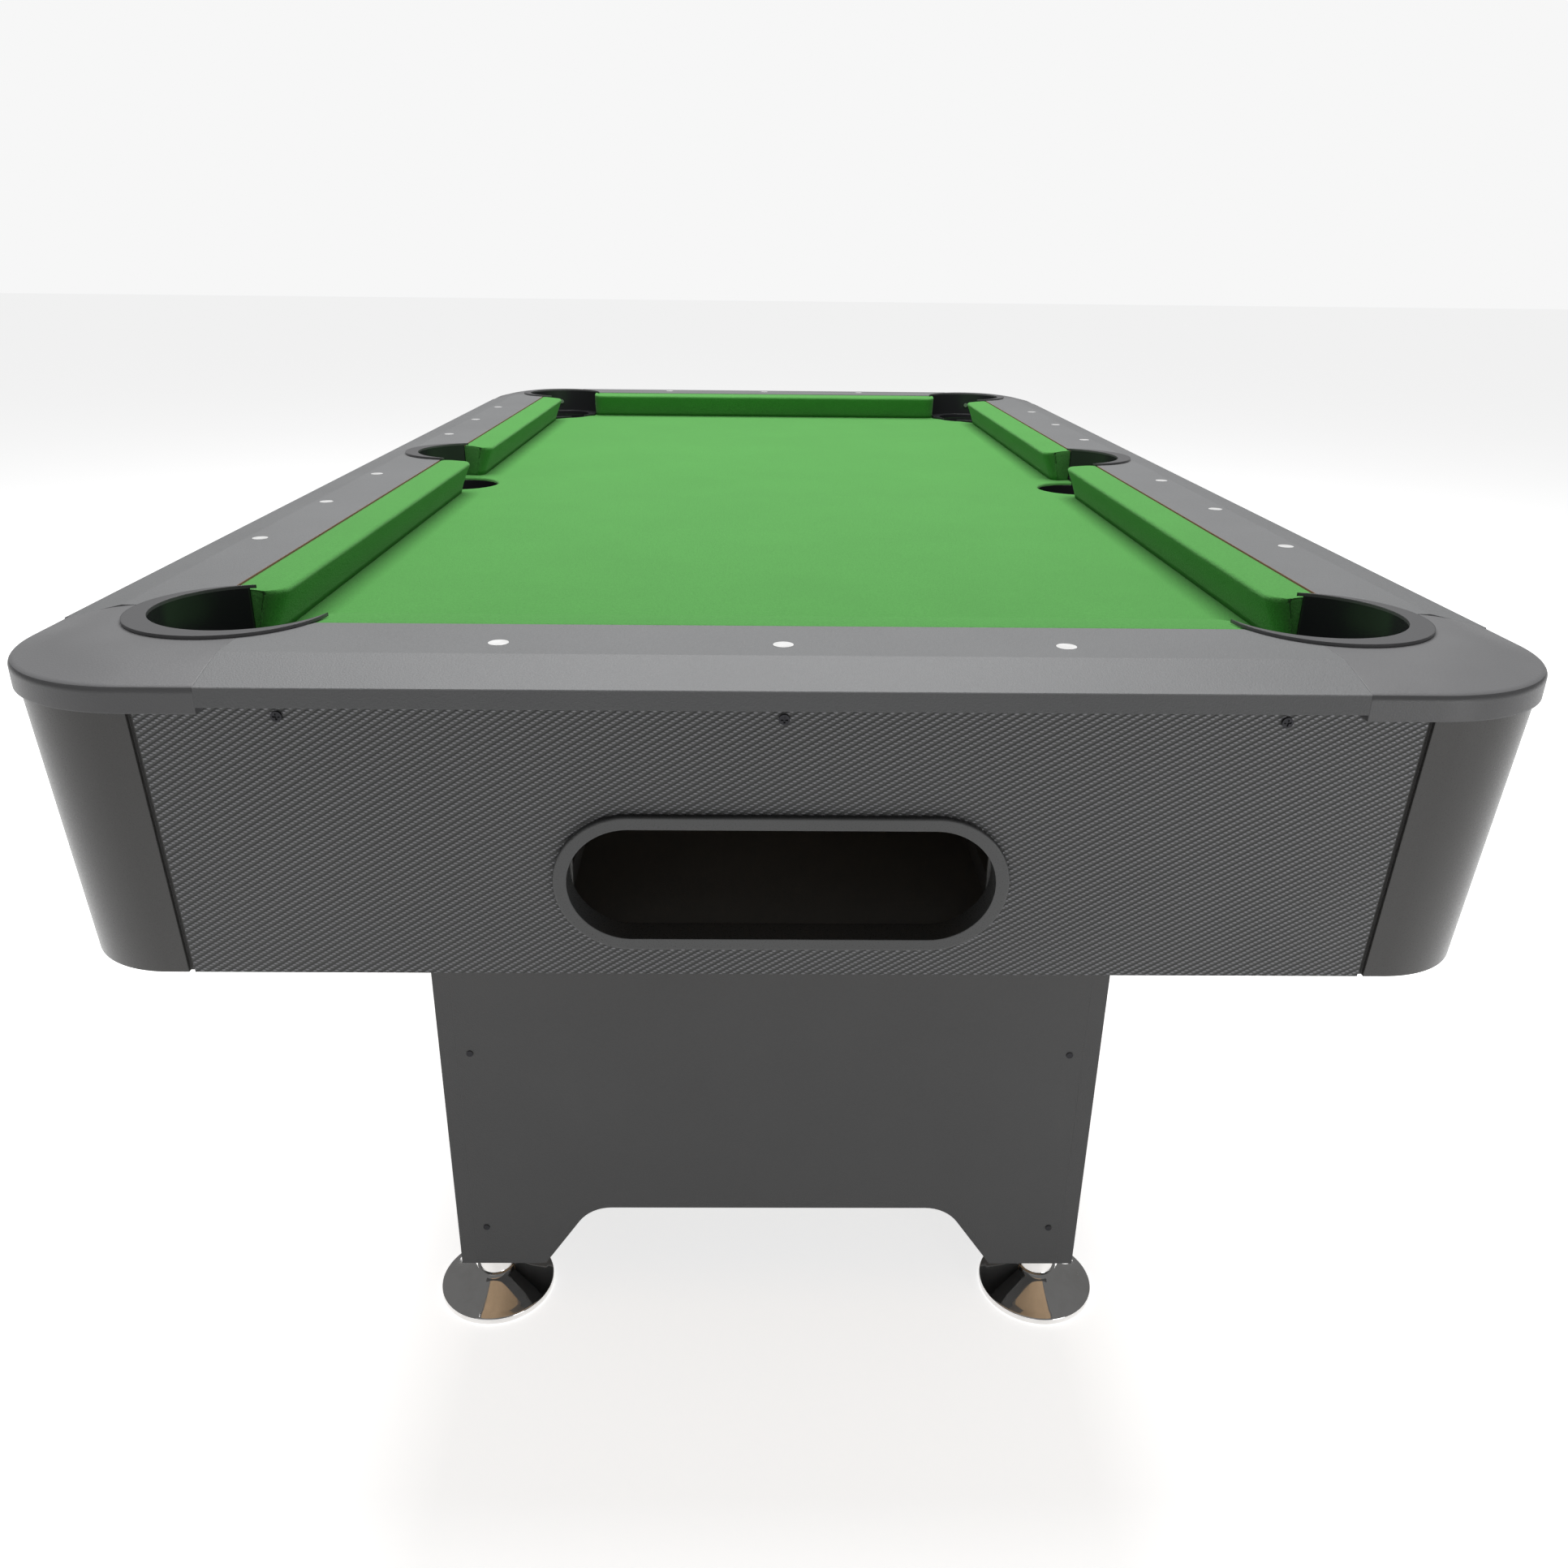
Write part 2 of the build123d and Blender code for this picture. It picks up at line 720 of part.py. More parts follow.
with BuildPart() as tray:
    with BuildSketch(Plane.XY.offset(floor_top)):
        with Locations((0, -(tray_front + tray_rear) / 2)):
            Rectangle(tray_width, tray_depth)
    extrude(amount=tray_top - floor_top)
    hollow = [
        (-tray_front + tray_wall, tray_floor_front),
        (-tray_rear - tray_wall, tray_floor_rear),
        (-tray_rear - tray_wall, table_height),
        (-tray_front + tray_wall, table_height),
    ]
    extrude(flat_shape(Plane.YZ, hollow), tray_width / 2 - tray_wall, both=True, mode=Mode.SUBTRACT)
    underside = [
        (-tray_front + tray_wall, 0),
        (-tray_rear - tray_wall, 0),
        (-tray_rear - tray_wall, tray_floor_rear - tray_wall),
        (-tray_front + tray_wall, tray_floor_front - tray_wall),
    ]
    extrude(flat_shape(Plane.YZ, underside), tray_width / 2 - tray_wall, both=True, mode=Mode.SUBTRACT)
    front_window = [
        (-return_width / 2, tray_floor_front),
        (return_width / 2, tray_floor_front),
        (return_width / 2, table_height),
        (-return_width / 2, table_height),
    ]
    extrude(
        flat_shape(Plane.XZ.offset(tray_front - 2 * tray_wall), front_window),
        amount=4 * tray_wall,
        mode=Mode.SUBTRACT,
    )
    with BuildSketch(Plane.XY.offset(run_outlet - run_wall)):
        with Locations((0, -run_cross_line)):
            Rectangle(2 * tray_width, run_window)
    extrude(amount=table_height, mode=Mode.SUBTRACT)
save(tray, "collection_tray")

run_inlet = tray_width / 2 - tray_wall
run_outer_side = run_middle + run_width / 2
run_corner_floor = run_outlet + run_slope * (run_middle - run_inlet)
run_front = run_cross_line + run_width / 2


def long_leg_outline(bottom, top, grow):
    """Side view of a run's long leg, between two heights measured from its sloping floor."""
    front = -run_front - grow
    rear = run_rear + grow
    front_floor = run_corner_floor + run_slope * (front + run_cross_line)
    rear_floor = run_corner_floor + run_slope * (rear + run_cross_line)
    return [
        (front, front_floor + bottom),
        (rear, rear_floor + bottom),
        (rear, rear_floor + top),
        (front, front_floor + top),
    ]


def short_leg_outline(side, bottom, top, inlet, outer):
    """Front view of a run's short leg, between two heights measured from its sloping floor."""
    inlet_floor = run_outlet + run_slope * (inlet - run_inlet)
    outer_floor = run_outlet + run_slope * (outer - run_inlet)
    return [
        (side * inlet, inlet_floor + bottom),
        (side * outer, outer_floor + bottom),
        (side * outer, outer_floor + top),
        (side * inlet, inlet_floor + top),
    ]


def add_run_legs(side, bottom, top, grow, inlet, mode):
    """Both legs of a run as solid bars, which grow by this much past the channel's faces."""
    with BuildPart() as legs:
        extrude(
            flat_shape(Plane.YZ.offset(side * run_middle), long_leg_outline(bottom, top, grow)),
            amount=run_width / 2 + grow,
            both=True,
        )
        extrude(
            flat_shape(
                Plane.XZ.offset(run_cross_line),
                short_leg_outline(side, bottom, top, inlet, run_outer_side + grow),
            ),
            amount=run_width / 2 + grow,
            both=True,
        )
    add(legs.part, mode=mode)


for name, side in sides.items():
    with BuildPart() as run:
        add_run_legs(side, -run_wall, run_depth, run_wall, run_inlet, Mode.ADD)
        add_run_legs(side, 0, 2 * run_depth, 0, run_inlet - run_wall, Mode.SUBTRACT)
    save(run, f"ball_run_{name}")


# --- Pedestals ---------------------------------------------------------------------------
pedestal_half = pedestal_width / 2
pedestal_rear = pedestal_front - pedestal_depth
pedestal_inner_half = pedestal_half - pedestal_board


def pedestal_screw_planes(distance, outward):
    """Planes on the outer face of a pedestal's end board, one for each screw."""
    return [
        Plane(
            origin=(side * pedestal_screw_x, distance, height),
            x_dir=(-outward, 0, 0),
            z_dir=(0, outward, 0),
        )
        for side in (-1, 1)
        for height in pedestal_screw_heights
    ]


def end_board(distance, outward):
    """The arched board between a pedestal's side boards, its outer face at this distance."""
    plane = Plane(origin=(0, distance, 0), x_dir=(-outward, 0, 0), z_dir=(0, outward, 0))
    height = cabinet_bottom - pedestal_bottom
    with BuildPart() as board:
        with BuildSketch(plane):
            with Locations((0, pedestal_bottom + height / 2)):
                Rectangle(2 * pedestal_inner_half, height)
        extrude(amount=-pedestal_board)
        with BuildSketch(plane) as arch:
            with BuildLine():
                Polyline(
                    (-arch_half_foot, pedestal_bottom),
                    (-arch_half_top, pedestal_bottom + arch_height),
                    (arch_half_top, pedestal_bottom + arch_height),
                    (arch_half_foot, pedestal_bottom),
                    close=True,
                )
            make_face()
            fillet(arch.vertices().group_by(Axis.Y)[-1], arch_radius)
        extrude(amount=-pedestal_board, mode=Mode.SUBTRACT)
        planes = pedestal_screw_planes(distance, outward)
        add(screw_holes(planes, pedestal_screw_length), mode=Mode.SUBTRACT)
    return board


pedestal_screw_sites = []
for name, end in ends.items():
    outer_face = end * pedestal_front
    inner_face = end * pedestal_rear
    save(end_board(outer_face, end), f"pedestal_{name}_outer_board")
    save(end_board(inner_face, -end), f"pedestal_{name}_inner_board")
    pedestal_screw_sites += pedestal_screw_planes(outer_face, end)
    pedestal_screw_sites += pedestal_screw_planes(inner_face, -end)
    middle = (outer_face + inner_face) / 2
    for side_name, side in sides.items():
        with BuildPart() as side_board:
            with BuildSketch(Plane.XY.offset(pedestal_bottom)):
                with Locations((side * (pedestal_half - pedestal_board / 2), middle)):
                    Rectangle(pedestal_board, pedestal_depth)
            extrude(amount=cabinet_bottom - pedestal_bottom)
        save(side_board, f"pedestal_{name}_{side_name}_board")
    with BuildPart() as top_board:
        with BuildSketch(Plane.XY.offset(cabinet_bottom - pedestal_board)):
            with Locations((0, middle)):
                Rectangle(2 * pedestal_inner_half, pedestal_depth - 2 * pedestal_board)
        extrude(amount=pedestal_board)
    save(top_board, f"pedestal_{name}_top_board")

foot_x = pedestal_half - foot_inset_x
foot_lines = (pedestal_front - foot_inset_y, pedestal_rear + foot_inset_y)
post_x = pedestal_inner_half - post_size / 2
post_lines = (
    pedestal_front - pedestal_board - post_size / 2,
    pedestal_rear + pedestal_board + post_size / 2,
)

with BuildPart() as posts:
    with BuildSketch(Plane.XY.offset(pedestal_bottom)):
        for line in post_lines:
            with GridLocations(2 * post_x, 2 * line, 2, 2):
                Rectangle(post_size, post_size)
    extrude(amount=cabinet_bottom - pedestal_board - pedestal_bottom)
    with BuildSketch(Plane.XY.offset(pedestal_bottom)):
        for line in foot_lines:
            with GridLocations(2 * foot_x, 2 * line, 2, 2):
                Circle(stud_radius + stud_gap)
    extrude(amount=bore_depth, mode=Mode.SUBTRACT)
    add(screw_holes(pedestal_screw_sites, pedestal_screw_length), mode=Mode.SUBTRACT)
save(posts, "pedestal_corner_posts")

with BuildPart() as pedestal_screws:
    for plane in pedestal_screw_sites:
        with BuildSketch(plane.offset(-pedestal_screw_length + 1)):
            Circle(screw_shank_radius)
        extrude(amount=pedestal_screw_length - 1)
        with BuildSketch(plane):
            Circle(pedestal_screw_radius)
        extrude(amount=pedestal_screw_cap)
save(pedestal_screws, "pedestal_screws")


# --- Levelling feet ----------------------------------------------------------------------
def make_foot(x, y):
    """A turned foot: weighted disc, cone, collar that stops on the post, and threaded stud."""
    collar_top = pedestal_bottom - stud_gap
    with BuildPart() as foot:
        with BuildSketch(Plane(origin=(x, y, 0), x_dir=(1, 0, 0), z_dir=(0, -1, 0))):
            with BuildLine():
                Polyline(
                    (0, 0),
                    (foot_radius - foot_rim / 3, 0),
                    (foot_radius, foot_rim / 3),
                    (foot_radius, foot_rim),
                    (foot_hub_radius, foot_cone_top),
                    (foot_collar_radius, foot_cone_top),
                    (foot_collar_radius, collar_top),
                    (stud_radius, collar_top),
                    (stud_radius, pedestal_bottom + stud_reach),
                    (0, pedestal_bottom + stud_reach),
                    close=True,
                )
            make_face()
        revolve(axis=Axis((x, y, 0), (0, 0, 1)))
    return foot


for name, end in ends.items():
    for side_name, side in sides.items():
        for place, line in zip(("outer", "inner"), foot_lines):
            save(make_foot(side * foot_x, end * line), f"leveler_{name}_{side_name}_{place}")
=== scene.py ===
import math

import bmesh
import bpy
from mathutils import Matrix, Vector, noise


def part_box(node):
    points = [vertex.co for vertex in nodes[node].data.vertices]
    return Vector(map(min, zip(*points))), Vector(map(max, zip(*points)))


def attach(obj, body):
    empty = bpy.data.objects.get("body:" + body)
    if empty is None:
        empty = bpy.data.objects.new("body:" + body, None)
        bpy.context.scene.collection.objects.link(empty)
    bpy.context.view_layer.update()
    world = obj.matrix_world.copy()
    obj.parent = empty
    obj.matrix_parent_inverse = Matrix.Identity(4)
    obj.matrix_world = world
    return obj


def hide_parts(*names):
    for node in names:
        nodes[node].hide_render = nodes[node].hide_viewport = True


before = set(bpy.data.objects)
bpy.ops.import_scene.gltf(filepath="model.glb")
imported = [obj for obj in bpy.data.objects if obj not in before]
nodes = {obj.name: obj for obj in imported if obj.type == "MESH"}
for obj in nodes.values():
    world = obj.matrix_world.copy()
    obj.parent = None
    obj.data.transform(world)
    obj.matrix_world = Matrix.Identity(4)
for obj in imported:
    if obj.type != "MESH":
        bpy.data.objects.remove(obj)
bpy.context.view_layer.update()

MM = 0.001
rail_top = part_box("rail_front")[1][2]
cloth_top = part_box("bed_cloth")[1][2]
bevel_foot = rail_top - 10.0 * MM   # the skirt starts here, under the rails' bevel


# --- Node materials ----------------------------------------------------------------------
class Finish:
    """A procedural material, built one node at a time on the object's own coordinates."""

    def __init__(self, name, roughness, **sockets):
        self.material = bpy.data.materials.new(name)
        self.material.use_nodes = True
        self.tree = self.material.node_tree
        self.surface = self.tree.nodes["Principled BSDF"]
        self.surface.inputs["Roughness"].default_value = roughness
        for socket, value in sockets.items():
            self.surface.inputs[socket.replace("_", " ")].default_value = value
        self.place = self.add("ShaderNodeTexCoord").outputs["Object"]
        self.rounded = None

    def add(self, kind, **settings):
        node = self.tree.nodes.new(kind)
        for name, value in settings.items():
            setattr(node, name, value)
        return node

    def feed(self, socket, value):
        """Give a socket a number, a colour or another node's output."""
        if isinstance(value, bpy.types.NodeSocket):
            self.tree.links.new(value, socket)
        else:
            socket.default_value = value

    def noise(self, size, detail=3.0, rough=0.55):
        """Noise from 0 to 1 with features of about this size in metres."""
        node = self.add("ShaderNodeTexNoise")
        self.feed(node.inputs["Vector"], self.place)
        node.inputs["Scale"].default_value = 1 / size
        node.inputs["Detail"].default_value = detail
        node.inputs["Roughness"].default_value = rough
        return node.outputs["Fac"]

    def mottle(self, size, detail=3.0, rough=0.55):
        """Noise with its middle range stretched, so that it reaches both 0 and 1."""
        return self.fit(self.noise(size, detail, rough), 0.3, 0.7)

    def cells(self, size):
        """Distance to the nearest of many scattered points, this far apart in metres."""
        node = self.add("ShaderNodeTexVoronoi")
        self.feed(node.inputs["Vector"], self.place)
        node.inputs["Scale"].default_value = 1 / size
        return node.outputs["Distance"]

    def math(self, operation, first, second=0.0):
        node = self.add("ShaderNodeMath", operation=operation)
        self.feed(node.inputs[0], first)
        self.feed(node.inputs[1], second)
        return node.outputs[0]

    def fit(self, value, low, high, new_low=0.0, new_high=1.0):
        """value moved from one range to another and held inside it."""
        node = self.add("ShaderNodeMapRange")
        for socket, number in zip(node.inputs, (value, low, high, new_low, new_high)):
            self.feed(socket, number)
        return node.outputs[0]

    def mix(self, share, first, second, blend="MIX"):
        """The second colour blended over the first by this share."""
        node = self.add("ShaderNodeMix", data_type="RGBA", blend_type=blend)
        self.feed(node.inputs["Factor"], share)
        self.feed(node.inputs[6], first)
        self.feed(node.inputs[7], second)
        return node.outputs[2]

    def axes(self):
        node = self.add("ShaderNodeSeparateXYZ")
        self.feed(node.inputs[0], self.place)
        return node.outputs

    def colour(self, value):
        self.feed(self.surface.inputs["Base Color"], value)

    def colour_so_far(self):
        """The output that feeds the base colour now."""
        return self.surface.inputs["Base Color"].links[0].from_socket

    def rough(self, value):
        self.feed(self.surface.inputs["Roughness"], value)

    def round_edges(self, radius):
        """Shade sharp edges as if they had a small round. Call it before the first bump."""
        node = self.add("ShaderNodeBevel")
        node.samples = 4
        node.inputs["Radius"].default_value = radius
        self.rounded = node.outputs[0]

    def bump(self, height, depth, under=None):
        """Raise the surface by height times depth, on top of an earlier bump."""
        node = self.add("ShaderNodeBump")
        node.inputs["Distance"].default_value = depth
        self.feed(node.inputs["Height"], height)
        under = under or self.rounded
        if under:
            self.feed(node.inputs["Normal"], under)
        self.feed(self.surface.inputs["Normal"], node.outputs[0])
        return node.outputs[0]


def shade(colour, factor):
    """A darker or lighter colour."""
    return tuple(min(1.0, part * factor) for part in colour[:3]) + (1.0,)


def cloth_finish():
    """Napped playing cloth: short fibres, soft mottling and a faint sheen."""
    green = (0.078, 0.300, 0.062)
    finish = Finish("playing_cloth", 0.95, Sheen_Weight=0.25, Sheen_Roughness=0.6)
    finish.surface.inputs["Sheen Tint"].default_value = (0.55, 0.85, 0.5, 1.0)
    finish.surface.inputs["Specular IOR Level"].default_value = 0.15
    patches = finish.mottle(0.09, 4.0, 0.6)
    flecks = finish.mottle(0.0022, 4.0, 0.7)
    fibres = finish.fit(finish.noise(0.0009, 2.0, 0.6), 0.25, 0.75)
    base = finish.mix(patches, shade(green, 0.93), shade(green, 1.06))
    speckled = finish.mix(flecks, shade(green, 0.80), base)
    finish.colour(finish.mix(finish.math("MULTIPLY", fibres, 0.35), speckled, shade(green, 1.25)))
    nap = finish.bump(fibres, 0.25 * MM)
    finish.bump(flecks, 0.35 * MM, nap)
    return finish.material


def laminate_finish(name, grey, roughness, grain):
    """Matte dark laminate with a fine pebbled grain and slight cloudiness."""
    finish = Finish(name, roughness, Specular_IOR_Level=0.3)
    finish.round_edges(0.8 * MM)
    clouds = finish.mottle(0.16)
    pebbles = finish.fit(finish.cells(grain), 0.0, 0.9)
    dust = finish.mottle(0.0018, 3.0, 0.7)
    base = finish.mix(clouds, shade(grey, 0.94), shade(grey, 1.06))
    finish.colour(finish.mix(finish.math("MULTIPLY", dust, 0.5), base, shade(grey, 1.22)))
    finish.rough(finish.fit(dust, 0.0, 1.0, roughness - 0.06, roughness + 0.08))
    grained = finish.bump(pebbles, 0.10 * MM)
    finish.bump(dust, 0.06 * MM, grained)
    return finish


def paint_skirt_shade(finish, share):
    """Paint shade on the upright skirt, below the bevel: its colour is multiplied down to this share of the
    top's colour, a painted shade for the weaker light on upright faces.
    """
    skirt_shade_mask = finish.math("LESS_THAN", finish.axes()[2], bevel_foot)
    # painted shade: the skirt keeps the same laminate as the top and is only darkened by this multiply
    finish.colour(finish.mix(skirt_shade_mask, finish.colour_so_far(), (share, share, share, 1.0), "MULTIPLY"))


def rail_finish(name, joint=None):
    """Rail laminate, with painted shade on its upright skirt. On the long rails the brown board shows along
    the edge at the cushions.
    """
    board_brown = (0.26, 0.13, 0.09, 1.0)
    finish = laminate_finish(name, (0.158, 0.160, 0.163), 0.48, 0.0011)
    # painted shade: the skirt is the same laminate as the top, darkened to 46% to stand in for the weaker
    # light on it
    paint_skirt_shade(finish, 0.46)
    if joint is not None:
        across = finish.math("ABSOLUTE", finish.axes()[0])
        at_joint = finish.math("LESS_THAN", across, joint + 0.3 * MM)
        finish.colour(finish.mix(at_joint, finish.colour_so_far(), board_brown))
    return finish.material


def woven_finish(name, along):
    """Laminate embossed as a fine twill: slanting ropes of short raised beads, painted lighter than the
    ground partly as their own tone and partly as a painted highlight.
    """
    row_pitch = 3.7 * MM
    bead_pitch = 2.6 * MM
    slant = math.radians(33)
    row_shift = 0.37            # each row is shifted from the last by this share of a bead
    bead_lean = 0.9             # a bead leans over by this share of itself across its row
    ground_dark, ground_light = (0.022, 0.023, 0.022, 1.0), (0.029, 0.030, 0.029, 1.0)
    # bead colours: partly the twill's own lighter threads, partly a painted highlight on the crests
    thread_and_highlight_dark, thread_and_highlight_light = (0.110, 0.110, 0.115, 1.0), (0.160, 0.160, 0.170, 1.0)
    crest_metal = 0.45
    finish = Finish(name, 0.34)
    finish.round_edges(0.6 * MM)
    axes = finish.axes()
    across, level = axes[along], axes[2]
    over_rows = finish.math(
        "SUBTRACT",
        finish.math("MULTIPLY", level, math.cos(slant)),
        finish.math("MULTIPLY", across, math.sin(slant)),
    )
    along_rows = finish.math(
        "ADD",
        finish.math("MULTIPLY", across, math.cos(slant)),
        finish.math("MULTIPLY", level, math.sin(slant)),
    )
    rows = finish.math("DIVIDE", over_rows, row_pitch)
    run = finish.math("DIVIDE", along_rows, bead_pitch)
    within_row = finish.math("FRACT", rows)
    stagger = finish.math("MULTIPLY", finish.math("FLOOR", rows), row_shift)
    skew = finish.math("MULTIPLY", within_row, bead_lean)
    beads = finish.math("FRACT", finish.math("ADD", finish.math("ADD", run, stagger), skew))
    rope = finish.math("SINE", finish.math("MULTIPLY", within_row, math.pi))
    bead = finish.math("SINE", finish.math("MULTIPLY", beads, math.pi))
    height = finish.math("MULTIPLY", finish.math("POWER", rope, 1.4), finish.fit(bead, 0.0, 1.0, 0.45, 1.0))
    crest = finish.fit(height, 0.45, 0.9)
    threads = finish.mottle(0.0007, 2.0, 0.6)
    worn = finish.mottle(0.20, 2.0)
    ground = finish.mix(worn, ground_dark, ground_light)
    raised = finish.mix(threads, thread_and_highlight_dark, thread_and_highlight_light)
    # crests take the lighter bead colour: own thread tone plus painted highlight
    finish.colour(finish.mix(crest, ground, raised))
    finish.feed(finish.surface.inputs["Metallic"], finish.math("MULTIPLY", crest, crest_metal))
    finish.rough(finish.fit(crest, 0.0, 1.0, 0.55, 0.30))
    finish.bump(height, 0.5 * MM)
    return finish.material


def moulded_finish(name, grey, roughness, grain_depth):
    """Moulded plastic with a fine spark-eroded grain."""
    grain = 1.3 * MM
    finish = Finish(name, roughness, Specular_IOR_Level=0.4)
    finish.round_edges(1.2 * MM)
    pits = finish.fit(finish.cells(grain), 0.0, 0.8)
    flow = finish.mottle(0.11, 2.0)
    speck = finish.noise(0.0009, 2.0)
    finish.colour(finish.mix(flow, shade(grey, 0.93), shade(grey, 1.08)))
    finish.rough(finish.fit(speck, 0.3, 0.7, roughness - 0.05, roughness + 0.07))
    finish.bump(pits, grain_depth)
    return finish


def cap_finish(name):
    """Satin corner cap, with painted shade on its upright skirt."""
    finish = moulded_finish(name, (0.165, 0.165, 0.169), 0.36, 0.04 * MM)
    # painted shade: the upright skirt is darkened to 42% of the cap's colour for the weaker light on it
    paint_skirt_shade(finish, 0.42)
    return finish.material


def liner_finish(name, collar_foot):
    """A pocket liner: near-black in the throat, and a grey collar above the rail, its lighter colour partly
    the collar's own satin grey and partly a painted sheen.
    """
    # collar colour: partly the plastic's own grey, partly a painted sheen
    collar_grey_and_sheen = (0.105, 0.105, 0.108, 1.0)
    finish = moulded_finish(name, (0.026, 0.027, 0.029), 0.22, 0.02 * MM)
    finish.surface.inputs["Specular IOR Level"].default_value = 0.3
    on_collar = finish.math("GREATER_THAN", finish.axes()[2], collar_foot)
    # the collar above the rail takes the lighter grey, which is partly painted sheen
    finish.colour(finish.mix(on_collar, finish.colour_so_far(), collar_grey_and_sheen))
    finish.rough(finish.fit(on_collar, 0.0, 1.0, 0.24, 0.36))
    return finish.material


def board_finish(name):
    """Bare fibreboard: tan, with pressed fibres."""
    tan = (0.36, 0.25, 0.15)
    finish = Finish(name, 0.8)
    fibre = finish.mottle(0.0015, 4.0, 0.7)
    cloud = finish.mottle(0.06)
    base = finish.mix(cloud, shade(tan, 0.88), shade(tan, 1.08))
    finish.colour(finish.mix(fibre, base, shade(tan, 0.7)))
    finish.bump(fibre, 0.12 * MM)
    return finish.material


def chrome_finish():
    """Polished chrome with faint turning marks and fingerprints."""
    finish = Finish("foot_chrome", 0.05, Metallic=1.0)
    smudge = finish.fit(finish.noise(0.02, 3.0), 0.4, 0.75)
    finish.colour(finish.mix(smudge, (0.86, 0.85, 0.84, 1.0), (0.78, 0.77, 0.75, 1.0)))
    finish.rough(finish.fit(smudge, 0.0, 1.0, 0.04, 0.12))
    finish.bump(finish.noise(0.015, 1.0), 0.02 * MM)
    return finish.material


def metal_finish(name, grey, roughness):
    """Plated or blackened screw metal with small tool marks."""
    finish = Finish(name, roughness, Metallic=1.0)
    marks = finish.mottle(0.0007)
    finish.colour(finish.mix(marks, shade(grey, 0.8), shade(grey, 1.15)))
    finish.rough(finish.fit(marks, 0.0, 1.0, roughness - 0.08, roughness + 0.1))
    finish.bump(marks, 0.04 * MM)
    return finish.material


def pearl_finish():
    """White sight dots with a soft pearly cloud."""
    finish = Finish("sight_dot_pearl", 0.22, Coat_Weight=0.4)
    cloud = finish.mottle(0.006)
    finish.colour(finish.mix(cloud, (0.78, 0.78, 0.77, 1.0), (0.92, 0.92, 0.92, 1.0)))
    finish.bump(cloud, 0.03 * MM)
    return finish.material


side_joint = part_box("rail_right")[0][0]
finishes = {
    "cloth": cloth_finish(),
    "rail_end": rail_finish("rail_laminate"),
    "rail_side": rail_finish("rail_laminate_side", side_joint),
    "woven_end": woven_finish("panel_weave_end", 0),
    "woven_side": woven_finish("panel_weave_side", 1),
    "pedestal": laminate_finish("pedestal_laminate", (0.057, 0.058, 0.059), 0.50, 0.0012).material,
    "cap": cap_finish("cap_plastic"),
    "column": moulded_finish("column_plastic", (0.034, 0.033, 0.031), 0.30, 0.02 * MM).material,
    "liner": liner_finish("liner_plastic", rail_top + 0.2 * MM),
    "bezel": moulded_finish("bezel_plastic", (0.048, 0.049, 0.049), 0.30, 0.02 * MM).material,
    "tray": moulded_finish("tray_plastic", (0.130, 0.130, 0.126), 0.42, 0.03 * MM).material,
    "board": board_finish("fibreboard"),
    "pearl": pearl_finish(),
    "screw": metal_finish("zinc_screws", (0.50, 0.50, 0.51), 0.32),
    "dark_screw": metal_finish("black_screws", (0.035, 0.035, 0.038), 0.45),
    "chrome": chrome_finish(),
}


def finish_for(name):
    """The name of the finish that a CAD node takes."""
    if name in ("rail_front", "rail_rear"):
        return "rail_end"
    if name.startswith("rail_"):
        return "rail_side"
    if name in ("cabinet_panel_front", "cabinet_panel_rear"):
        return "woven_end"
    if name.startswith("cabinet_panel_"):
        return "woven_side"
    if name in ("bed_board", "cabinet_floor", "pedestal_corner_posts") or name.startswith("bed_beam_"):
        return "board"
    if name == "collection_tray" or name.startswith("ball_run_"):
        return "tray"
    starts = {
        "corner_cap_": "cap",
        "corner_column_": "column",
        "pocket_liner_": "liner",
        "return_bezel": "bezel",
        "sight_dots": "pearl",
        "pedestal_screws": "dark_screw",
        "panel_screws": "dark_screw",
        "pocket_screws": "screw",
        "pedestal_": "pedestal",
        "leveler_": "chrome",
    }
    for start, finish in starts.items():
        if name.startswith(start):
            return finish
    return "cloth"


for name, node in nodes.items():
    node.data.materials.clear()
    node.data.materials.append(finishes[finish_for(name)])


# --- Pieces in mesh code -----------------------------------------------------------------
def new_piece(name, mesh_maker, material):
    """A new object from a bmesh that mesh_maker fills."""
    mesh = bpy.data.meshes.new(name)
    shape = bmesh.new()
    mesh_maker(shape)
    bmesh.ops.recalc_face_normals(shape, faces=shape.faces)
    shape.to_mesh(mesh)
    shape.free()
    for face in mesh.polygons:
        face.use_smooth = True
    piece = bpy.data.objects.new(name, mesh)
    bpy.context.scene.collection.objects.link(piece)
    mesh.materials.append(material)
    return piece


def skin_rows(shape, rows, closed_ends=True):
    """Faces between neighbouring closed rows of points, and over the first and last row."""
    rings = [[shape.verts.new(point) for point in row] for row in rows]
    for ring, following in zip(rings, rings[1:]):
        for i in range(len(ring)):
            j = (i + 1) % len(ring)
            shape.faces.new((ring[i], ring[j], following[j], following[i]))
    if closed_ends:
        shape.faces.new(rings[0])
        shape.faces.new(rings[-1])


def arc_points(middle, radius, start, end, count):
    """Points on an arc, angles in degrees."""
    angles = [math.radians(start + (end - start) * i / (count - 1)) for i in range(count)]
    return [(middle[0] + radius * math.cos(a), middle[1] + radius * math.sin(a)) for a in angles]


def circle_points(middle, radius, count):
    """Points evenly round a full circle."""
    turns = [2 * math.pi * i / count for i in range(count)]
    return [(middle[0] + radius * math.cos(t), middle[1] + radius * math.sin(t)) for t in turns]


